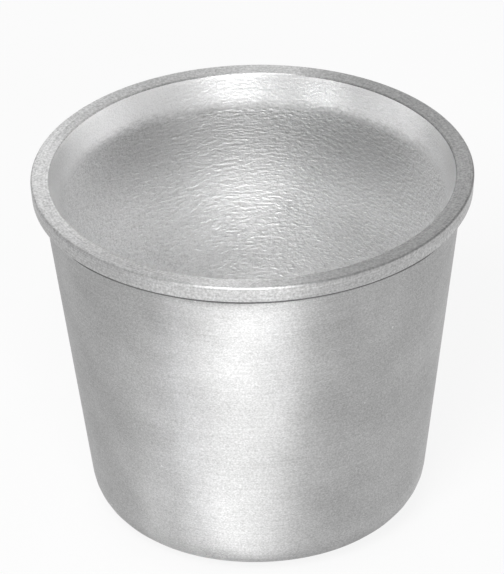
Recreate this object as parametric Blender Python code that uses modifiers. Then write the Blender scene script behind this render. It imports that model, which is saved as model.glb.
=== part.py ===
"""Seamless aluminium candle mold: a tapered cup with a solid lip, wicked through its base.

The cup is drawn from one blank. Its base panel is raised, so that the wick screw and the
rubber washer that seal the wick hole stay clear of the table. Metres, +Z up. The origin is
the centre of the ring that the mold stands on.
"""

import math

import bmesh
import bpy
from mathutils import Vector

# Cup: overall sizes and sheet
RIM_RADIUS = 0.0300
HEIGHT = 0.0505
BASE_RADIUS = 0.0219
WALL = 0.0017

# Cup: lip round the mouth
LIP_HEIGHT = 0.0024
LIP_OVERHANG = 0.0016
LIP_TAPER = 0.0002
LIP_EDGE_RADIUS = 0.0003
MOUTH_EDGE_RADIUS = 0.0002

# Cup: flare inside the mouth
FLARE_DEPTH = 0.0042
FLARE_WIDENING = 0.00055
FLARE_EDGE_RADIUS = 0.0120

# Cup: base
CORNER_RADIUS = 0.0068
STAND_RING_WIDTH = 0.0030
PANEL_STEP_RUN = 0.0022
PANEL_STEP_RADIUS = 0.0018
PANEL_EDGE_RADIUS = 0.0010
WICK_HOLE_RADIUS = 0.0022

# Wick screw
SHANK_CLEARANCE = 0.0002
SHANK_PROJECTION = 0.0024
TIP_CHAMFER = 0.0006
HEAD_RADIUS = 0.0038
HEAD_HEIGHT = 0.0016
HEAD_EDGE_RADIUS = 0.0009
HEAD_FOOT_RADIUS = 0.0002
SLOT_WIDTH = 0.0010
SLOT_DEPTH = 0.0008

# Seal washer
WASHER_MARGIN = 0.0011
WASHER_THICKNESS = 0.0010
WASHER_EDGE_RADIUS = 0.0003

# Fits
SEAT_GAP = 0.0002
TABLE_CLEARANCE = 0.0006

# Facets
CUP_STEPS = 64
SMALL_STEPS = 40
ARC_STEP = math.radians(18)
MERGE_DISTANCE = 1e-6
SHARP_ANGLE = math.radians(35)
CUT_MARGIN = 0.001

# Heights that follow from the sizes above
PANEL_UNDERSIDE = TABLE_CLEARANCE + HEAD_HEIGHT + WASHER_THICKNESS + 2 * SEAT_GAP
LIP_UNDERSIDE = HEIGHT - LIP_HEIGHT
WASHER_TOP = -SEAT_GAP
HEAD_TOP = WASHER_TOP - WASHER_THICKNESS - SEAT_GAP
SHANK_RADIUS = WICK_HOLE_RADIUS - SHANK_CLEARANCE


def clear_scene():
    for obj in list(bpy.data.objects):
        bpy.data.objects.remove(obj, do_unlink=True)


def make_collection(name):
    collection = bpy.data.collections.new(name)
    bpy.context.scene.collection.children.link(collection)
    return collection


def make_material(name, color, roughness, metallic):
    material = bpy.data.materials.new(name)
    material.use_nodes = True
    shader = material.node_tree.nodes["Principled BSDF"]
    shader.inputs["Base Color"].default_value = (*color, 1.0)
    shader.inputs["Roughness"].default_value = roughness
    shader.inputs["Metallic"].default_value = metallic
    return material


def rounded(corners):
    """Points of a closed outline whose corners (radius from axis, height, fillet) are rounded."""
    points = []
    for index, (r, z, fillet) in enumerate(corners):
        corner = Vector((r, z))
        before = (Vector(corners[index - 1][:2]) - corner).normalized()
        after = (Vector(corners[(index + 1) % len(corners)][:2]) - corner).normalized()
        opening = before.angle(after)
        if fillet <= 0:
            points.append(corner)
            continue
        reach = fillet / math.tan(opening / 2)
        center = corner + (before + after).normalized() * (fillet / math.sin(opening / 2))
        start = corner + before * reach - center
        end = corner + after * reach - center
        sweep = start.angle_signed(end)
        count = max(2, math.ceil(abs(sweep) / ARC_STEP))
        for step in range(count + 1):
            turn = -sweep * step / count
            cos, sin = math.cos(turn), math.sin(turn)
            points.append(center + Vector((start.x * cos - start.y * sin, start.x * sin + start.y * cos)))
    return points


def inner_side(corners, wall):
    """The corners of an open skin moved to its right by the wall, with fillets to match."""
    shifted = []
    for (r0, z0, _), (r1, z1, _) in zip(corners, corners[1:]):
        along = Vector((r1 - r0, z1 - z0)).normalized()
        shifted.append((Vector((r0, z0)) + wall * Vector((along.y, -along.x)), along))
    moved = []
    for (start, along), (next_start, next_along), (_, _, fillet) in zip(shifted, shifted[1:], corners[1:]):
        turn = along.x * next_along.y - along.y * next_along.x
        gap = next_start - start
        reach = (gap.x * next_along.y - gap.y * next_along.x) / turn
        corner = start + along * reach
        moved.append((corner.x, corner.y, fillet + wall if turn > 0 else fillet - wall))
    return moved


def turned(name, outline, steps, collection, material):
    """A solid of revolution about Z from a closed outline that runs down its outer side."""
    mesh = bpy.data.meshes.new(name)
    count = len(outline)
    edges = [(index, (index + 1) % count) for index in range(count)]
    mesh.from_pydata([(point.x, 0.0, point.y) for point in outline], edges, [])
    obj = bpy.data.objects.new(name, mesh)
    collection.objects.link(obj)
    screw = obj.modifiers.new("Turn", "SCREW")
    screw.axis = "Z"
    screw.angle = math.tau
    screw.steps = screw.render_steps = steps
    screw.use_merge_vertices = True
    screw.merge_threshold = MERGE_DISTANCE
    return finish_mesh(obj, material)


def finish_mesh(obj, material):
    """Turns the modifiers into a welded mesh, shaded smooth but for its sharp edges."""
    bpy.context.view_layer.update()
    graph = bpy.context.evaluated_depsgraph_get()
    mesh = bpy.data.meshes.new_from_object(obj.evaluated_get(graph))
    obj.modifiers.clear()
    shape = bmesh.new()
    shape.from_mesh(mesh)
    bmesh.ops.remove_doubles(shape, verts=shape.verts, dist=MERGE_DISTANCE)
    loose = [vertex for vertex in shape.verts if not vertex.link_faces]
    bmesh.ops.delete(shape, geom=loose, context="VERTS")
    bmesh.ops.recalc_face_normals(shape, faces=shape.faces)
    shape.to_mesh(mesh)
    shape.free()
    mesh.shade_smooth()
    mesh.set_sharp_from_angle(angle=SHARP_ANGLE)
    mesh.materials.clear()
    mesh.materials.append(material)
    obj.data = mesh
    return obj


def cup_outline():
    """Half section of the cup: the lip, down the outside, through the wick hole, up the inside."""
    wall_top = RIM_RADIUS - LIP_OVERHANG
    draft = (wall_top - BASE_RADIUS) / LIP_UNDERSIDE
    corner_reach = CORNER_RADIUS / math.tan((math.pi / 2 + math.atan(draft)) / 2)
    panel_edge = BASE_RADIUS - corner_reach - STAND_RING_WIDTH
    skin = [
        (wall_top + draft * LIP_HEIGHT, HEIGHT, 0),
        (BASE_RADIUS, 0, CORNER_RADIUS),
        (panel_edge, 0, PANEL_STEP_RADIUS),
        (panel_edge - PANEL_STEP_RUN, PANEL_UNDERSIDE, PANEL_EDGE_RADIUS),
        (WICK_HOLE_RADIUS, PANEL_UNDERSIDE, 0),
    ]
    straight_mouth = skin[0][0] - WALL * math.hypot(1, draft)
    lip = [
        (straight_mouth + FLARE_WIDENING, HEIGHT, MOUTH_EDGE_RADIUS),
        (RIM_RADIUS, HEIGHT, LIP_EDGE_RADIUS),
        (RIM_RADIUS - LIP_TAPER, LIP_UNDERSIDE, LIP_EDGE_RADIUS),
        (wall_top, LIP_UNDERSIDE, 0),
    ]
    hole_rim = (WICK_HOLE_RADIUS, PANEL_UNDERSIDE + WALL, 0)
    inside = list(reversed(inner_side(skin, WALL)))
    flare_foot = (straight_mouth - draft * FLARE_DEPTH, HEIGHT - FLARE_DEPTH, FLARE_EDGE_RADIUS)
    return rounded(lip + skin[1:] + [hole_rim] + inside + [flare_foot])


def washer_outline():
    """Half section of the flat rubber ring, measured down from the panel that it seals."""
    inner = WICK_HOLE_RADIUS
    outer = HEAD_RADIUS + WASHER_MARGIN
    bottom = WASHER_TOP - WASHER_THICKNESS
    return rounded(
        [
            (inner, WASHER_TOP, 0),
            (outer, WASHER_TOP, WASHER_EDGE_RADIUS),
            (outer, bottom, WASHER_EDGE_RADIUS),
            (inner, bottom, 0),
        ]
    )


def screw_outline():
    """Half section of the pan-head screw, measured from the panel's underside, tip up."""
    tip = WALL + SHANK_PROJECTION
    foot = HEAD_TOP - HEAD_HEIGHT
    return rounded(
        [
            (0, tip, 0),
            (SHANK_RADIUS - TIP_CHAMFER, tip, 0),
            (SHANK_RADIUS, tip - TIP_CHAMFER, 0),
            (SHANK_RADIUS, HEAD_TOP, 0),
            (HEAD_RADIUS, HEAD_TOP, HEAD_FOOT_RADIUS),
            (HEAD_RADIUS, foot, HEAD_EDGE_RADIUS),
            (0, foot, 0),
        ]
    )


def cut_slot(screw, cutters):
    """Cuts the screwdriver slot across the head."""
    bpy.ops.mesh.primitive_cube_add(size=1.0)
    cutter = bpy.context.object
    cutter.name = "slot_cutter"
    for collection in list(cutter.users_collection):
        collection.objects.unlink(cutter)
    cutters.objects.link(cutter)
    foot = HEAD_TOP - HEAD_HEIGHT
    cutter.scale = (2 * (HEAD_RADIUS + CUT_MARGIN), SLOT_WIDTH, SLOT_DEPTH + CUT_MARGIN)
    cutter.parent = screw.parent
    cutter.location = (0, 0, foot + SLOT_DEPTH - (SLOT_DEPTH + CUT_MARGIN) / 2)
    cutter.hide_render = True
    cutter.display_type = "WIRE"
    slot = screw.modifiers.new("Slot", "BOOLEAN")
    slot.operation = "DIFFERENCE"
    slot.object = cutter


def make_empty(name, height, collection, parent=None):
    empty = bpy.data.objects.new(name, None)
    empty.empty_display_size = WICK_HOLE_RADIUS
    empty.location = (0, 0, height)
    empty.parent = parent
    collection.objects.link(empty)
    return empty


def main():
    clear_scene()
    parts = make_collection("candle_mold")
    cutters = make_collection("cutters")
    aluminium = make_material("satin_aluminium", (0.78, 0.78, 0.78), 0.38, 1.0)
    steel = make_material("zinc_plated_steel", (0.62, 0.62, 0.61), 0.30, 1.0)
    rubber = make_material("black_rubber", (0.03, 0.03, 0.03), 0.70, 0.0)

    base = make_empty("base_center", 0, parts)
    cup = turned("mold_cup", cup_outline(), CUP_STEPS, parts, aluminium)
    cup.parent = base

    wick_axis = make_empty("wick_axis", PANEL_UNDERSIDE, parts, base)
    washer = turned("seal_washer", washer_outline(), SMALL_STEPS, parts, rubber)
    washer.parent = wick_axis
    screw = turned("wick_screw", screw_outline(), SMALL_STEPS, parts, steel)
    screw.parent = wick_axis
    cut_slot(screw, cutters)


main()
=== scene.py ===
"""Looks of the seamless aluminium candle mold: fine meshes, finishes, studio stage and camera.

The meshes repeat the CAD's section in metres, +Z up, with the origin at the centre of the ring
that the mold stands on. The cup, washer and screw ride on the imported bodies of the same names.
"""

import math

import bmesh
import bpy
from mathutils import Matrix, Vector, noise


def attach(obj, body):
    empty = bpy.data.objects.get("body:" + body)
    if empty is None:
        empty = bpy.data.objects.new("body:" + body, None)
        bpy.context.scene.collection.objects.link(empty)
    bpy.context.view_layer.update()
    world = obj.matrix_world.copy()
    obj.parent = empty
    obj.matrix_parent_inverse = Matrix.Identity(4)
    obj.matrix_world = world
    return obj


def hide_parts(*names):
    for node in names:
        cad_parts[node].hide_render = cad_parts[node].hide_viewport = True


# Cup section, as in the CAD
RIM_RADIUS = 0.0300
HEIGHT = 0.0505
BASE_RADIUS = 0.0219
WALL = 0.0017
LIP_HEIGHT = 0.0024
LIP_OVERHANG = 0.0016
LIP_TAPER = 0.0002
LIP_EDGE_RADIUS = 0.0003
MOUTH_EDGE_RADIUS = 0.0002
FLARE_DEPTH = 0.0042
FLARE_WIDENING = 0.00055
FLARE_EDGE_RADIUS = 0.0120
CORNER_RADIUS = 0.0068
STAND_RING_WIDTH = 0.0030
PANEL_STEP_RUN = 0.0022
PANEL_STEP_RADIUS = 0.0018
PANEL_EDGE_RADIUS = 0.0010
PANEL_UNDERSIDE = 0.0036
WICK_HOLE_RADIUS = 0.0022
LIP_UNDERSIDE = HEIGHT - LIP_HEIGHT

# Washer and screw, as in the CAD
WASHER_RADIUS = 0.0049
WASHER_TOP = 0.0034
WASHER_BOTTOM = 0.0024
WASHER_EDGE_RADIUS = 0.0003
HEAD_TOP = 0.0022
HEAD_BOTTOM = 0.0006
HEAD_RADIUS = 0.0038
HEAD_EDGE_RADIUS = 0.0009
HEAD_FOOT_RADIUS = 0.0002
SLOT_WIDTH = 0.0010
SLOT_DEPTH = 0.0008
SCREW_TIP = 0.0077
SHANK_RADIUS = 0.0020
TIP_CHAMFER = 0.0006

# Small shapes that only the visual model has
LIP_ROOT_RADIUS = 0.00015
HOLE_EDGE_RADIUS = 0.00012
SLOT_EDGE_RADIUS = 0.00006
SLOT_EDGE_ANGLE = math.radians(50)

# Thread, also only here: the pitch of the coupled joints, and shares of it for crest and flanks
THREAD_PITCH = 0.0007
THREAD_DEPTH = 0.00038
THREAD_CREST, THREAD_FLANKS = 0.2, 0.6
SHANK_INTO_HEAD = SLOT_DEPTH / 4

# Fineness
CUP_STEPS = 320
SMALL_STEPS = 96
THREAD_STEPS = 64
THREAD_ROWS_PER_PITCH = 12
ARC_STEP = math.radians(10)
FEWEST_ARC_STEPS = 3
OUTSIDE_STEP = 0.0010
INSIDE_STEP = 0.0006
SHARP_ANGLE = math.radians(35)
MERGE_DISTANCE = 1e-7
FLOOR_STEPS = 96

# Zones of the cup, which are its material slots
OUTSIDE, LIP, INSIDE, FLARE = range(4)

# Waves in the metal's skin: (zone, height, wavelength across, wavelength up)
WAVES = (
    (INSIDE, 0.000018, 0.0032, 0.0024),
    (INSIDE, 0.000030, 0.0110, 0.0090),
    (FLARE, 0.000020, 0.0060, 0.0060),
    (OUTSIDE, 0.000006, 0.0140, 0.0045),
)

# Noises: the sandy grain's scale per metre, the radius's weight in turning marks, the range in use
SAND_SCALE = (4000, 4000, 5200)
RING_WEIGHT = 1.3
NOISE_LOW, NOISE_HIGH = 0.3, 0.7

# Roughness in the mouth, the palest tone there, and the turn that lays highlights across marks
INSIDE_ROUGHNESS, FLARE_ROUGHNESS = 0.48, 0.34
PALEST = 0.97
ACROSS_MARKS = 0.25

# Painted shade under the lip: its least and most depth, its growth to the sides, its edge and look
LIP_SHADE_LEAST, LIP_SHADE_MOST = 0.00103, 0.0017
LIP_SHADE_GROWTH, LIP_SHADE_SIDE, LIP_SHADE_POWER = 0.00088, 0.025, 4.0
LIP_SHADE_EDGE = (-0.00010, 0.00012)
LIP_SHADE_TONE, LIP_SHADE_METALLIC = 0.18, 0.2

# Painted shade along the base edge: the heights over which it fades, how ragged that is, and its tone
BASE_SHADE_LOW, BASE_SHADE_HIGH = 0.0025, 0.0070
BASE_SHADE_RAGGED = 0.0020
BASE_SHADE_TONE = 0.66

# Nicks: cells per metre, size as a share of a cell, share of cells that have none, brightness
NICK_CELLS = 260.0
NICK_SIZE = 0.04
NICK_FREE = 0.6
NICK_BRIGHT = 0.25

# Painted shade in a band under the flare, darkest on the far side; below its top the flare also turns
# rougher: its heights, its ragged edge, where the far side starts, how dark it is
SHADE_AND_DULL_TOP = HEIGHT - FLARE_DEPTH + 0.0010
SHADE_AND_DULL_EDGE = 0.0022
FLARE_SHADE_FULL = SHADE_AND_DULL_TOP - 0.004
FLARE_SHADE_FOOT = HEIGHT - 0.018
SHADE_AND_DULL_PEEL, SHADE_AND_DULL_BLOTCH = 0.0024, 0.0020
FAR_SIDE = (0.008, 0.021)
FLARE_SHADE_NEAR, FLARE_SHADE_FAR = 0.10, 0.40

# Camera: measured from the photograph's outline, round the centre of the rim
CAMERA_DISTANCE = 60 * RIM_RADIUS
CAMERA_ELEVATION = math.radians(30.3)
CAMERA_ROLL = math.radians(1.32)
IMAGE_WIDTH, IMAGE_HEIGHT = 504, 574
PIXELS_PER_RIM_RADIUS = 222.3
RIM_PIXEL = (252.3, 174.5)
SENSOR = 36.0
CLIP_START, CLIP_END = 0.05, 20.0

# Stage
FLOOR_RADIUS = 1.2
FLOOR_DROP = 0.00005
FLOOR_COLOR = 0.86
FLOOR_GLOW = 0.86
ZENITH_LIGHT = 0.48
LEFT_HORIZON_LIGHT, RIGHT_HORIZON_LIGHT = 0.50, 0.78
HORIZON_LOW, HORIZON_HIGH = 0.10, 0.50
SIDE_REACH = 0.6

# Softboxes: name, azimuth from the camera, elevation, distance, size, watts, height aimed at, spread
OPEN, GRID, NARROW, TIGHT = (math.radians(angle) for angle in (180, 22, 14, 10))
SOFTBOXES = (
    ("key", -14, 45, 1.0, 0.36, 5.9, HEIGHT / 2, OPEN),
    ("back", 180, 30, 1.0, 0.36, 0.73, HEIGHT / 2, OPEN),
    ("low_front", -24, 8, 0.20, 0.05, 0.00105, 0.004, NARROW),
    ("low_left", -38, 8, 0.20, 0.05, 0.00038, 0.004, NARROW),
    ("low_far", -66, 8, 0.20, 0.05, 0.00063, 0.004, NARROW),
    ("middle_left", -41, 8, 0.20, 0.05, 0.00078, 0.024, TIGHT),
    ("upper_front", 10, 25, 0.25, 0.06, 0.0051, 0.046, GRID),
)


def rounded(corners, closed=True):
    """Points (radius, height, zone) of an outline with its corners rounded.

    Each corner is (radius, height, fillet, zone). The ends of an open outline stay sharp.
    """
    points = []
    last = len(corners) - 1
    for index, (r, z, fillet, zone) in enumerate(corners):
        corner = Vector((r, z))
        open_end = not closed and index in (0, last)
        if fillet <= 0 or open_end:
            points.append((r, z, zone))
            continue
        before = (Vector(corners[index - 1][:2]) - corner).normalized()
        after = (Vector(corners[(index + 1) % len(corners)][:2]) - corner).normalized()
        opening = before.angle(after)
        reach = fillet / math.tan(opening / 2)
        center = corner + (before + after).normalized() * (fillet / math.sin(opening / 2))
        start = corner + before * reach - center
        end = corner + after * reach - center
        sweep = start.angle_signed(end)
        count = max(FEWEST_ARC_STEPS, math.ceil(abs(sweep) / ARC_STEP))
        for step in range(count + 1):
            turn = Matrix.Rotation(-sweep * step / count, 2)
            point = center + turn @ start
            points.append((point.x, point.y, zone))
    return points


def inner_side(skin, wall):
    """The corners of an open skin moved to its right by the wall, with fillets to match."""
    lines = []
    for (r0, z0, _), (r1, z1, _) in zip(skin, skin[1:]):
        along = Vector((r1 - r0, z1 - z0)).normalized()
        lines.append((Vector((r0, z0)) + wall * Vector((along.y, -along.x)), along))
    moved = []
    for (start, along), (next_start, next_along), (_, _, fillet) in zip(lines, lines[1:], skin[1:]):
        turn = along.x * next_along.y - along.y * next_along.x
        gap = next_start - start
        reach = (gap.x * next_along.y - gap.y * next_along.x) / turn
        corner = start + along * reach
        moved.append((corner.x, corner.y, fillet + wall if turn > 0 else fillet - wall))
    return moved


def cup_section():
    """Closed half section of the cup: lip, outside, wick hole, inside."""
    wall_top = RIM_RADIUS - LIP_OVERHANG
    draft = (wall_top - BASE_RADIUS) / LIP_UNDERSIDE
    corner_reach = CORNER_RADIUS / math.tan((math.pi / 2 + math.atan(draft)) / 2)
    panel_edge = BASE_RADIUS - corner_reach - STAND_RING_WIDTH
    skin = [
        (wall_top + draft * LIP_HEIGHT, HEIGHT, 0),
        (BASE_RADIUS, 0, CORNER_RADIUS),
        (panel_edge, 0, PANEL_STEP_RADIUS),
        (panel_edge - PANEL_STEP_RUN, PANEL_UNDERSIDE, PANEL_EDGE_RADIUS),
        (WICK_HOLE_RADIUS, PANEL_UNDERSIDE, HOLE_EDGE_RADIUS),
    ]
    straight_mouth = skin[0][0] - WALL * math.hypot(1, draft)
    corners = [
        (straight_mouth + FLARE_WIDENING, HEIGHT, MOUTH_EDGE_RADIUS, LIP),
        (RIM_RADIUS, HEIGHT, LIP_EDGE_RADIUS, LIP),
        (RIM_RADIUS - LIP_TAPER, LIP_UNDERSIDE, LIP_EDGE_RADIUS, LIP),
        (wall_top, LIP_UNDERSIDE, LIP_ROOT_RADIUS, OUTSIDE),
    ]
    corners += [(r, z, fillet, OUTSIDE) for r, z, fillet in skin[1:]]
    corners.append((WICK_HOLE_RADIUS, PANEL_UNDERSIDE + WALL, HOLE_EDGE_RADIUS, INSIDE))
    inside = reversed(inner_side(skin, WALL))
    corners += [(r, z, fillet, INSIDE) for r, z, fillet in inside]
    flare_foot = straight_mouth - draft * FLARE_DEPTH
    corners.append((flare_foot, HEIGHT - FLARE_DEPTH, FLARE_EDGE_RADIUS, FLARE))
    return rounded(corners)


def refined(section):
    """The closed section with long edges split, so that waves have points to move."""
    points = []
    for index, (r, z, zone) in enumerate(section):
        next_r, next_z, _ = section[(index + 1) % len(section)]
        length = math.hypot(next_r - r, next_z - z)
        step = INSIDE_STEP if zone in (INSIDE, FLARE) else OUTSIDE_STEP
        count = max(1, math.ceil(length / step))
        for part in range(count):
            share = part / count
            points.append((r + (next_r - r) * share, z + (next_z - z) * share, zone))
    return points


def wave(point, zone):
    """How far the skin stands out at a point of a zone."""
    total = 0.0
    for where, height, across, up in WAVES:
        if where == zone:
            place = Vector((point.x / across, point.y / across, point.z / up))
            total += height * noise.noise(place)
    return total


def revolve(name, section, steps, closed=True, waves=False):
    """A mesh object turned about Z from a section, with the zones as material slots."""
    count = len(section)
    vertices = []
    for index, (r, z, zone) in enumerate(section):
        before = section[index - 1]
        after = section[(index + 1) % count]
        along = Vector((after[0] - before[0], after[1] - before[1])).normalized()
        for step in range(steps):
            angle = math.tau * step / steps
            out = Vector((math.cos(angle), math.sin(angle), 0))
            point = out * r + Vector((0, 0, z))
            if waves:
                normal = out * -along.y + Vector((0, 0, along.x))
                point += normal * wave(point, zone)
            vertices.append(point)
    faces, slots = [], []
    for index in range(count if closed else count - 1):
        row, below = index * steps, (index + 1) % count * steps
        for step in range(steps):
            turn = (step + 1) % steps
            faces.append((row + step, below + step, below + turn, row + turn))
            slots.append(section[index][2])
    mesh = bpy.data.meshes.new(name)
    mesh.from_pydata(vertices, [], faces)
    mesh.polygons.foreach_set("material_index", slots)
    return finish_mesh(name, mesh)


def finish_mesh(name, mesh):
    """Welds the axis, faces the mesh outwards, shades it smooth and makes its object."""
    shape = bmesh.new()
    shape.from_mesh(mesh)
    bmesh.ops.remove_doubles(shape, verts=shape.verts, dist=MERGE_DISTANCE)
    bmesh.ops.recalc_face_normals(shape, faces=shape.faces)
    shape.to_mesh(mesh)
    shape.free()
    mesh.shade_smooth()
    mesh.set_sharp_from_angle(angle=SHARP_ANGLE)
    piece = bpy.data.objects.new(name, mesh)
    bpy.context.scene.collection.objects.link(piece)
    return piece


def make_cup():
    return revolve("cup_shell", refined(cup_section()), CUP_STEPS, waves=True)


def make_washer():
    """The flat rubber ring with rounded edges."""
    corners = [
        (WICK_HOLE_RADIUS, WASHER_TOP, HOLE_EDGE_RADIUS, 0),
        (WASHER_RADIUS, WASHER_TOP, WASHER_EDGE_RADIUS, 0),
        (WASHER_RADIUS, WASHER_BOTTOM, WASHER_EDGE_RADIUS, 0),
        (WICK_HOLE_RADIUS, WASHER_BOTTOM, HOLE_EDGE_RADIUS, 0),
    ]
    return revolve("washer_ring", rounded(corners), SMALL_STEPS)


def make_head():
    """The pan head with its screwdriver slot."""
    corners = [
        (0, HEAD_TOP, 0, 0),
        (HEAD_RADIUS, HEAD_TOP, HEAD_FOOT_RADIUS, 0),
        (HEAD_RADIUS, HEAD_BOTTOM, HEAD_EDGE_RADIUS, 0),
        (0, HEAD_BOTTOM, 0, 0),
    ]
    head = revolve("screw_head", rounded(corners, closed=False), SMALL_STEPS, closed=False)
    bpy.ops.mesh.primitive_cube_add(size=1.0)
    cutter = bpy.context.object
    cutter.scale = (4 * HEAD_RADIUS, SLOT_WIDTH, 2 * SLOT_DEPTH)
    cutter.location = (0, 0, HEAD_BOTTOM)
    cut = head.modifiers.new("Slot", "BOOLEAN")
    cut.operation = "DIFFERENCE"
    cut.object = cutter
    edge = head.modifiers.new("Slot edge", "BEVEL")
    edge.width = SLOT_EDGE_RADIUS
    edge.segments = 2
    edge.limit_method = "ANGLE"
    edge.angle_limit = SLOT_EDGE_ANGLE
    bpy.context.view_layer.update()
    graph = bpy.context.evaluated_depsgraph_get()
    mesh = bpy.data.meshes.new_from_object(head.evaluated_get(graph))
    bpy.data.objects.remove(cutter, do_unlink=True)
    bpy.data.objects.remove(head, do_unlink=True)
    return mesh


def thread_radius(turn, height):
    """Radius of the right-hand thread, with a flat crest and root, at an angle and a height."""
    phase = (height / THREAD_PITCH - turn / math.tau) % 1.0
    from_crest = abs(phase - 0.5) * 2
    depth = min(max((from_crest - THREAD_CREST) / THREAD_FLANKS, 0.0), 1.0)
    chamfered = SHANK_RADIUS - max(0.0, height - (SCREW_TIP - TIP_CHAMFER))
    return min(SHANK_RADIUS - THREAD_DEPTH * depth, chamfered)


def make_thread():
    """The threaded shank, from inside the head to its chamfered tip."""
    foot = HEAD_TOP - SHANK_INTO_HEAD
    rows = math.ceil((SCREW_TIP - foot) / THREAD_PITCH * THREAD_ROWS_PER_PITCH)
    shape = bmesh.new()
    rings = []
    for row in range(rows + 1):
        height = foot + (SCREW_TIP - foot) * row / rows
        ring = []
        for step in range(THREAD_STEPS):
            turn = math.tau * step / THREAD_STEPS
            radius = thread_radius(turn, height)
            ring.append(shape.verts.new((radius * math.cos(turn), radius * math.sin(turn), height)))
        rings.append(ring)
    for low, high in zip(rings, rings[1:]):
        for step in range(THREAD_STEPS):
            turn = (step + 1) % THREAD_STEPS
            shape.faces.new((low[step], low[turn], high[turn], high[step]))
    shape.faces.new(rings[-1])
    shape.faces.new(list(reversed(rings[0])))
    mesh = bpy.data.meshes.new("screw_thread")
    shape.to_mesh(mesh)
    shape.free()
    return mesh


def make_screw():
    shape = bmesh.new()
    for mesh in (make_head(), make_thread()):
        shape.from_mesh(mesh)
        bpy.data.meshes.remove(mesh)
    mesh = bpy.data.meshes.new("slotted_screw")
    shape.to_mesh(mesh)
    shape.free()
    return finish_mesh("slotted_screw", mesh)


class Finish:
    """A metal or rubber material under construction, with short ways to add its nodes."""

    def __init__(self, name, roughness, metallic):
        self.material = bpy.data.materials.new(name)
        self.material.use_nodes = True
        self.tree = self.material.node_tree
        self.shader = self.tree.nodes["Principled BSDF"]
        self.shader.inputs["Roughness"].default_value = roughness
        self.shader.inputs["Metallic"].default_value = metallic

    def node(self, kind, **values):
        made = self.tree.nodes.new(kind)
        for key, value in values.items():
            setattr(made, key, value)
        return made

    def link(self, output, target):
        self.tree.links.new(output, target)

    def math(self, operation, first, second=0.0, third=0.0):
        made = self.node("ShaderNodeMath", operation=operation)
        for socket, value in zip(made.inputs, (first, second, third)):
            if isinstance(value, (int, float)):
                socket.default_value = value
            else:
                self.link(value, socket)
        return made.outputs[0]

    def place(self):
        return self.node("ShaderNodeTexCoord").outputs["Object"]

    def stretched(self, scale):
        """Object coordinates in metres times a scale for each axis."""
        made = self.node("ShaderNodeVectorMath", operation="MULTIPLY")
        self.link(self.place(), made.inputs[0])
        made.inputs[1].default_value = scale
        return made.outputs[0]

    def lathe_place(self, along, across):
        """Coordinates that change fast across turning marks, on flat and upright faces alike."""
        split = self.node("ShaderNodeSeparateXYZ")
        self.link(self.place(), split.inputs[0])
        x, y, z = split.outputs
        squares = self.math("ADD", self.math("MULTIPLY", x, x), self.math("MULTIPLY", y, y))
        height = self.math("MULTIPLY_ADD", self.math("SQRT", squares), RING_WEIGHT, z)
        join = self.node("ShaderNodeCombineXYZ")
        self.link(self.math("MULTIPLY", x, along), join.inputs[0])
        self.link(self.math("MULTIPLY", y, along), join.inputs[1])
        self.link(self.math("MULTIPLY", height, across), join.inputs[2])
        return join.outputs[0]

    def noise(self, vector, detail=2.0, roughness=0.5):
        made = self.node("ShaderNodeTexNoise")
        made.inputs["Scale"].default_value = 1.0
        made.inputs["Detail"].default_value = detail
        made.inputs["Roughness"].default_value = roughness
        self.link(vector, made.inputs["Vector"])
        return made.outputs["Fac"]

    def spread(self, value, low, high):
        """The middle of a noise's range spread over low to high."""
        made = self.node("ShaderNodeMapRange")
        self.link(value, made.inputs["Value"])
        ends = {"From Min": NOISE_LOW, "From Max": NOISE_HIGH, "To Min": low, "To Max": high}
        for name, number in ends.items():
            made.inputs[name].default_value = number
        return made.outputs["Result"]

    def along(self, axis):
        """One object coordinate, in metres."""
        split = self.node("ShaderNodeSeparateXYZ")
        self.link(self.place(), split.inputs[0])
        return split.outputs[axis]

    def ramp(self, value, first, last, at_first=0.0, at_last=1.0):
        """A level that goes smoothly from one value to another."""
        made = self.node("ShaderNodeMapRange", interpolation_type="SMOOTHSTEP")
        self.link(value, made.inputs["Value"])
        ends = {"From Min": first, "From Max": last, "To Min": at_first, "To Max": at_last}
        for name, number in ends.items():
            made.inputs[name].default_value = number
        return made.outputs["Result"]

    def gray(self, value):
        join = self.node("ShaderNodeCombineColor")
        for socket in join.inputs:
            self.link(value, socket)
        return join.outputs[0]

    def bump(self, height, distance, strength=1.0, under=None):
        made = self.node("ShaderNodeBump")
        made.inputs["Strength"].default_value = strength
        made.inputs["Distance"].default_value = distance
        self.link(height, made.inputs["Height"])
        if under:
            self.link(under, made.inputs["Normal"])
        return made.outputs["Normal"]

    def paint(self, tone, roughness, normal):
        """Leads a gray tone, a roughness and a bumped normal to the shader."""
        self.link(self.gray(tone), self.shader.inputs["Base Color"])
        self.link(roughness, self.shader.inputs["Roughness"])
        self.link(normal, self.shader.inputs["Normal"])

    def brushed(self, amount):
        """Stretches highlights across marks that run round the axis."""
        tangent = self.node("ShaderNodeTangent", direction_type="RADIAL", axis="Z")
        self.link(tangent.outputs[0], self.shader.inputs["Tangent"])
        self.shader.inputs["Anisotropic"].default_value = amount
        self.shader.inputs["Anisotropic Rotation"].default_value = ACROSS_MARKS


def painted_lip_shade(finish):
    """0 in the painted shade under the lip, which lies deeper at two sides, and 1 on the unshaded wall
    below.
    """
    sideways = finish.math("ABSOLUTE", finish.math("DIVIDE", finish.along("X"), LIP_SHADE_SIDE))
    aside = finish.math("POWER", sideways, LIP_SHADE_POWER)
    deeper = finish.math("MULTIPLY_ADD", aside, LIP_SHADE_GROWTH, LIP_SHADE_LEAST)
    depth = finish.math("MINIMUM", deeper, LIP_SHADE_MOST)
    under_lip = finish.math("SUBTRACT", LIP_UNDERSIDE, finish.along("Z"))
    return finish.ramp(finish.math("SUBTRACT", under_lip, depth), *LIP_SHADE_EDGE)


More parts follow.
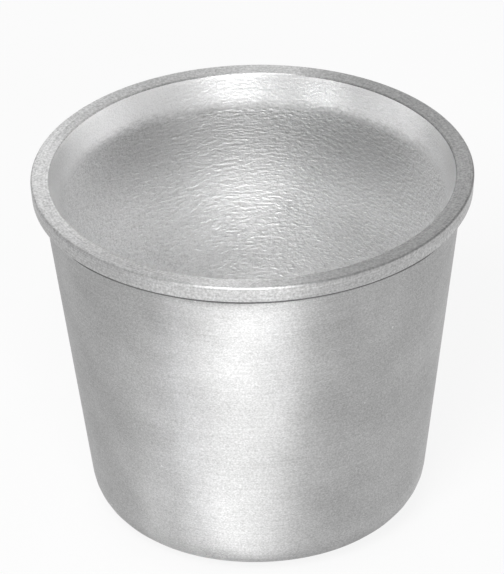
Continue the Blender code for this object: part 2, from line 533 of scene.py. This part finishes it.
def nicks(finish):
    """Bright specks where the satin is chipped, roughly one in five square centimetres."""
    cells = finish.node("ShaderNodeTexVoronoi")
    finish.link(finish.place(), cells.inputs["Vector"])
    cells.inputs["Scale"].default_value = NICK_CELLS
    chance = finish.node("ShaderNodeSeparateColor")
    finish.link(cells.outputs["Color"], chance.inputs[0])
    small = finish.math("LESS_THAN", cells.outputs["Distance"], NICK_SIZE)
    chosen = finish.math("GREATER_THAN", chance.outputs[0], NICK_FREE)
    return finish.math("MULTIPLY", finish.math("MULTIPLY", small, chosen), NICK_BRIGHT)


def turned_outside():
    """Satin wall with turning lines and sandy grain, with painted shade under the lip and at the base.
    """
    finish = Finish("aluminium_outside", 0.61, 1.0)
    lines = finish.noise(finish.lathe_place(60, 5200), detail=3.0, roughness=0.6)
    grain = finish.noise(finish.stretched(SAND_SCALE), detail=2.0, roughness=0.6)
    blotch = finish.noise(finish.stretched((110, 110, 110)), detail=3.0)
    marks = finish.math("ADD", finish.spread(lines, -0.035, 0.035), finish.spread(grain, -0.115, 0.115))
    # Painted shade: the wall is darkened in a line under the lip's overhang
    unshaded = painted_lip_shade(finish)
    # Painted shade: the wall darkens towards the base edge, with a ragged top
    ragged = finish.math("MULTIPLY_ADD", blotch, BASE_SHADE_RAGGED, finish.along("Z"))
    base_shade = finish.ramp(ragged, BASE_SHADE_LOW, BASE_SHADE_HIGH, BASE_SHADE_TONE, 1.0)
    base = finish.math("MULTIPLY", finish.spread(blotch, 0.54, 0.66), base_shade)
    marked = finish.math("ADD", finish.math("ADD", base, marks), nicks(finish))
    shade = finish.math("MULTIPLY_ADD", unshaded, 1 - LIP_SHADE_TONE, LIP_SHADE_TONE)
    tone = finish.math("MULTIPLY", marked, shade)
    normal = finish.bump(lines, 0.000004, under=finish.bump(grain, 0.000012))
    finish.paint(tone, finish.spread(blotch, 0.59, 0.63), normal)
    # The painted shade under the lip also lowers the metallic share
    metallic = finish.math("MULTIPLY_ADD", unshaded, 1 - LIP_SHADE_METALLIC, LIP_SHADE_METALLIC)
    finish.link(metallic, finish.shader.inputs["Metallic"])
    finish.brushed(0.9)
    return finish.material


def turned_lip():
    """Rim turned in rings, with a sandy grain, and a top with painted light, lighter on the left and
    darker on the right.
    """
    finish = Finish("aluminium_lip", 0.49, 1.0)
    lines = finish.noise(finish.lathe_place(45, 6000), detail=3.0, roughness=0.65)
    grain = finish.noise(finish.stretched((3200, 3200, 3200)), detail=2.0, roughness=0.6)
    blotch = finish.noise(finish.stretched((150, 150, 150)), detail=2.0)
    marks = finish.math("ADD", finish.spread(lines, 0.86, 1.14), finish.spread(grain, -0.24, 0.24))
    # Painted light and shade: the lip's top is lighter on the left and darker on the right
    painted_side_light = finish.math("MULTIPLY_ADD", finish.along("X"), -0.17 / RIM_RADIUS, -0.034)
    on_top = finish.ramp(finish.along("Z"), HEIGHT - 0.0003, HEIGHT - 0.0001)
    tone = finish.math("MULTIPLY_ADD", painted_side_light, on_top, finish.spread(blotch, 0.52, 0.58))
    tone = finish.math("MULTIPLY", tone, marks)
    finish.paint(tone, finish.spread(blotch, 0.46, 0.52), finish.bump(lines, 0.000006))
    finish.brushed(0.85)
    return finish.material


def mouth_noises(finish):
    """Orange peel, sand and blotches, which run on from the flare to the inside."""
    peel = finish.noise(finish.stretched((1400, 1400, 3000)), detail=2.0, roughness=0.6)
    grain = finish.noise(finish.stretched(SAND_SCALE), detail=2.0, roughness=0.6)
    blotch = finish.noise(finish.stretched((140, 140, 190)), detail=3.0)
    return peel, grain, blotch


def ragged_height(finish, peel, blotch):
    """Height in metres, moved up and down by the noises so that an edge drawn on it is ragged."""
    height = finish.along("Z")
    for noise_value, reach in ((peel, SHADE_AND_DULL_PEEL), (blotch, SHADE_AND_DULL_BLOTCH)):
        up_or_down = finish.math("SUBTRACT", noise_value, 0.5)
        height = finish.math("MULTIPLY_ADD", up_or_down, reach, height)
    return height


def painted_flare_shade(finish, height):
    """1 on bare metal, and less in the painted shade of the band under the flare, above all on the far
    side.
    """
    below = finish.ramp(height, SHADE_AND_DULL_TOP, SHADE_AND_DULL_TOP - SHADE_AND_DULL_EDGE)
    band = finish.math("MULTIPLY", finish.ramp(height, FLARE_SHADE_FOOT, FLARE_SHADE_FULL), below)
    depth = finish.ramp(finish.along("Y"), *FAR_SIDE, FLARE_SHADE_NEAR, FLARE_SHADE_FAR)
    return finish.math("SUBTRACT", 1.0, finish.math("MULTIPLY", band, depth))


def grained_inside():
    """Sandy orange-peel skin of the unturned inside."""
    finish = Finish("aluminium_inside", INSIDE_ROUGHNESS, 1.0)
    peel, grain, blotch = mouth_noises(finish)
    marks = finish.math("ADD", finish.spread(peel, -0.10, 0.10), finish.spread(grain, -0.12, 0.12))
    bare = finish.math("MINIMUM", finish.math("ADD", finish.spread(blotch, 0.90, 0.96), marks), PALEST)
    # Painted shade: the band under the flare is darkened, most on the far side
    tone = finish.math("MULTIPLY", bare, painted_flare_shade(finish, ragged_height(finish, peel, blotch)))
    normal = finish.bump(peel, 0.00012, under=finish.bump(grain, 0.000024))
    finish.paint(tone, finish.spread(blotch, 0.45, 0.51), normal)
    return finish.material


def grained_flare():
    """Finer, sparkling grain of the flare inside the mouth, which turns rougher towards its foot, where
    painted shade darkens it.
    """
    finish = Finish("aluminium_flare", FLARE_ROUGHNESS, 1.0)
    peel, grain, blotch = mouth_noises(finish)
    height = ragged_height(finish, peel, blotch)
    bare = finish.math("ADD", finish.spread(blotch, 0.91, 0.99), finish.spread(grain, -0.10, 0.10))
    # Painted shade darkens the flare's foot, most on the far side
    tone = finish.math("MULTIPLY", finish.math("MINIMUM", bare, PALEST), painted_flare_shade(finish, height))
    dulled = finish.ramp(height, SHADE_AND_DULL_TOP, SHADE_AND_DULL_TOP - SHADE_AND_DULL_EDGE, FLARE_ROUGHNESS, INSIDE_ROUGHNESS)
    normal = finish.bump(peel, 0.000035, under=finish.bump(grain, 0.000022))
    finish.paint(tone, dulled, normal)
    return finish.material


def zinc_plate():
    finish = Finish("zinc_plated_steel", 0.30, 1.0)
    cloud = finish.noise(finish.stretched((900, 900, 900)), detail=3.0)
    tone, roughness = finish.spread(cloud, 0.56, 0.66), finish.spread(cloud, 0.24, 0.36)
    finish.paint(tone, roughness, finish.bump(cloud, 0.00001))
    return finish.material


def black_rubber():
    finish = Finish("black_rubber", 0.70, 0.0)
    cloud = finish.noise(finish.stretched((1400, 1400, 1400)), detail=4.0)
    tone, roughness = finish.spread(cloud, 0.022, 0.040), finish.spread(cloud, 0.62, 0.80)
    finish.paint(tone, roughness, finish.bump(cloud, 0.00002))
    return finish.material


def dress(piece, body, node, materials):
    """Gives a piece its finishes and puts it in its CAD node's place."""
    for material in materials:
        piece.data.materials.append(material)
    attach(piece, body)
    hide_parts(node)


def seen_rays(tree):
    """1 for rays that show the stage to the camera, directly, mirrored or through a clear face."""
    path = tree.nodes.new("ShaderNodeLightPath")
    total = path.outputs["Is Camera Ray"]
    for name in ("Is Glossy Ray", "Is Transmission Ray"):
        add = tree.nodes.new("ShaderNodeMath")
        add.operation = "MAXIMUM"
        tree.links.new(total, add.inputs[0])
        tree.links.new(path.outputs[name], add.inputs[1])
        total = add.outputs[0]
    return total


def make_floor():
    """A pale floor that is white to the camera but keeps the shadow, and is clear from below."""
    material = bpy.data.materials.new("pale_floor")
    material.use_nodes = True
    tree = material.node_tree
    tree.nodes.clear()
    output = tree.nodes.new("ShaderNodeOutputMaterial")
    diffuse = tree.nodes.new("ShaderNodeBsdfDiffuse")
    diffuse.inputs["Color"].default_value = (FLOOR_COLOR, FLOOR_COLOR, FLOOR_COLOR, 1)
    glow = tree.nodes.new("ShaderNodeEmission")
    share = tree.nodes.new("ShaderNodeMath")
    share.operation = "MULTIPLY"
    share.inputs[1].default_value = FLOOR_GLOW
    tree.links.new(seen_rays(tree), share.inputs[0])
    lit = tree.nodes.new("ShaderNodeMixShader")
    tree.links.new(share.outputs[0], lit.inputs[0])
    tree.links.new(diffuse.outputs[0], lit.inputs[1])
    tree.links.new(glow.outputs[0], lit.inputs[2])
    clear = tree.nodes.new("ShaderNodeBsdfTransparent")
    geometry = tree.nodes.new("ShaderNodeNewGeometry")
    sided = tree.nodes.new("ShaderNodeMixShader")
    tree.links.new(geometry.outputs["Backfacing"], sided.inputs[0])
    tree.links.new(lit.outputs[0], sided.inputs[1])
    tree.links.new(clear.outputs[0], sided.inputs[2])
    tree.links.new(sided.outputs[0], output.inputs["Surface"])
    bpy.ops.mesh.primitive_circle_add(
        vertices=FLOOR_STEPS, radius=FLOOR_RADIUS, fill_type="NGON", location=(0, 0, -FLOOR_DROP)
    )
    floor = bpy.context.object
    floor.name = "floor"
    floor.data.materials.append(material)


def make_world():
    """A soft light that is even overhead and weaker on the left along the horizon."""
    world = bpy.data.worlds.new("studio")
    bpy.context.scene.world = world
    world.use_nodes = True
    tree = world.node_tree
    background = tree.nodes["Background"]
    background.inputs["Color"].default_value = (1, 1, 1, 1)
    way = tree.nodes.new("ShaderNodeTexCoord")
    split = tree.nodes.new("ShaderNodeSeparateXYZ")
    tree.links.new(way.outputs["Generated"], split.inputs[0])
    level = tree.nodes.new("ShaderNodeMapRange")
    level.interpolation_type = "SMOOTHSTEP"
    level.inputs["From Min"].default_value = HORIZON_LOW
    level.inputs["From Max"].default_value = HORIZON_HIGH
    level.inputs["To Max"].default_value = ZENITH_LIGHT
    tree.links.new(split.outputs["Z"], level.inputs["Value"])
    side = tree.nodes.new("ShaderNodeMapRange")
    side.interpolation_type = "SMOOTHSTEP"
    side.inputs["From Min"].default_value = -SIDE_REACH
    side.inputs["From Max"].default_value = SIDE_REACH
    side.inputs["To Min"].default_value = LEFT_HORIZON_LIGHT
    side.inputs["To Max"].default_value = RIGHT_HORIZON_LIGHT
    tree.links.new(split.outputs["X"], side.inputs["Value"])
    tree.links.new(side.outputs["Result"], level.inputs["To Min"])
    tree.links.new(level.outputs["Result"], background.inputs["Strength"])


def make_softboxes():
    for name, azimuth, elevation, distance, size, watts, aim, spread in SOFTBOXES:
        turn, rise = math.radians(azimuth), math.radians(elevation)
        level = math.cos(rise)
        way = Vector((math.sin(turn) * level, -math.cos(turn) * level, math.sin(rise)))
        light = bpy.data.lights.new(name, "AREA")
        light.shape = "SQUARE"
        light.size = size
        light.energy = watts
        light.spread = spread
        lamp = bpy.data.objects.new(name, light)
        lamp.location = Vector((0, 0, aim)) + way * distance
        lamp.visible_camera = False
        lamp.rotation_mode = "QUATERNION"
        lamp.rotation_quaternion = (-way).to_track_quat("-Z", "Y")
        bpy.context.scene.collection.objects.link(lamp)


def make_camera():
    """A long lens at the photograph's angle, aimed so that the rim's centre falls on its pixel."""
    data = bpy.data.cameras.new("camera")
    data.sensor_width = SENSOR
    focal_pixels = PIXELS_PER_RIM_RADIUS * CAMERA_DISTANCE / RIM_RADIUS
    data.lens = focal_pixels / max(IMAGE_WIDTH, IMAGE_HEIGHT) * SENSOR
    data.clip_start = CLIP_START
    data.clip_end = CLIP_END
    back = Vector((0, -math.cos(CAMERA_ELEVATION), math.sin(CAMERA_ELEVATION)))
    level_right = Vector((1, 0, 0))
    level_up = back.cross(level_right)
    right = level_right * math.cos(CAMERA_ROLL) - level_up * math.sin(CAMERA_ROLL)
    up = level_up * math.cos(CAMERA_ROLL) + level_right * math.sin(CAMERA_ROLL)
    rim = Vector((0, 0, HEIGHT))
    place = rim + back * CAMERA_DISTANCE
    pixel = RIM_RADIUS / PIXELS_PER_RIM_RADIUS
    aim = rim - right * (RIM_PIXEL[0] - IMAGE_WIDTH / 2) * pixel
    aim -= up * (IMAGE_HEIGHT / 2 - RIM_PIXEL[1]) * pixel
    toward = (place - aim).normalized()
    side = up.cross(toward).normalized()
    axes = Matrix((side, toward.cross(side), toward)).transposed()
    camera = bpy.data.objects.new("camera", data)
    camera.matrix_world = Matrix.Translation(place) @ axes.to_4x4()
    bpy.context.scene.collection.objects.link(camera)
    bpy.context.scene.camera = camera


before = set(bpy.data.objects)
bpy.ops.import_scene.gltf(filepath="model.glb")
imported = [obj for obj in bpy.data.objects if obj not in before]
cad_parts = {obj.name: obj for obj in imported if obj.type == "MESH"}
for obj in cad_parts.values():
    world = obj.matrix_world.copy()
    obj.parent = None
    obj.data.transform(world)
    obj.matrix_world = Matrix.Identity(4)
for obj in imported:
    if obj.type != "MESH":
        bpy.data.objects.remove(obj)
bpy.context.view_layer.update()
bpy.context.scene.view_settings.view_transform = "Standard"
make_camera()
make_world()
make_floor()
make_softboxes()
cup_finishes = [turned_outside(), turned_lip(), grained_inside(), grained_flare()]
dress(make_cup(), "cup", "mold_cup", cup_finishes)
dress(make_washer(), "washer", "seal_washer", [black_rubber()])
dress(make_screw(), "screw", "wick_screw", [zinc_plate()])
